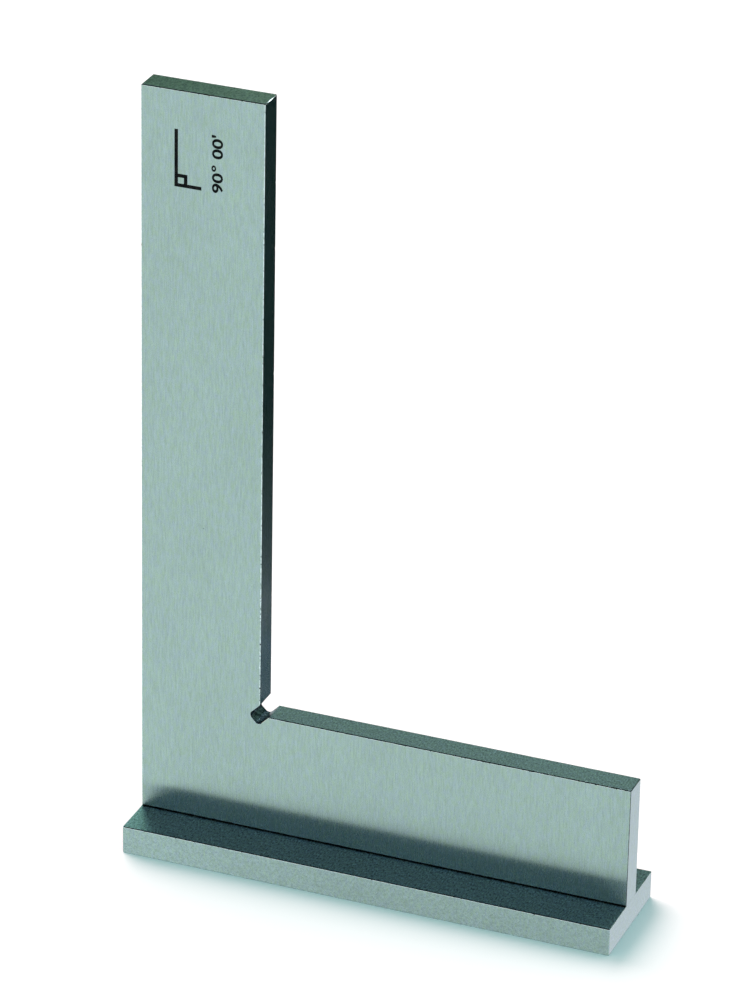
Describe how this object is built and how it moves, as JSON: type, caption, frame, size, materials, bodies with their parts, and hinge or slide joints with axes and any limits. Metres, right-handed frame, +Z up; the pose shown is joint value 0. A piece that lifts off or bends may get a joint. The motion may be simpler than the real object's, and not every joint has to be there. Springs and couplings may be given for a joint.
{
  "type": "engineer's square with stop bar",
  "caption": "Flat L-shaped steel blade standing on a wider flat stop bar, for checking and marking out right angles.",
  "frame": {"origin": "centre of the stop bar's underside, the face that the square stands on", "axes": "+X along the stop bar from the tall leg towards the end of the short leg, +Y across the stop bar, +Z up the tall leg"},
  "size_m": [0.1, 0.0242, 0.1565],
  "materials": {
    "ground_steel": "surface ground, fine straight grain",
    "black_oxide_steel": "black oxide, oiled",
    "hardened_steel": "hardened and centreless ground",
    "etched_mark": "electro-etched, matt black"
  },
  "bodies": {
    "root": {"blade": "ground_steel", "stop_bar": "ground_steel", "left_screw": "black_oxide_steel", "middle_screw": "black_oxide_steel", "right_screw": "black_oxide_steel", "left_dowel_pin": "hardened_steel", "right_dowel_pin": "hardened_steel"}
  },
  "joints": []
}
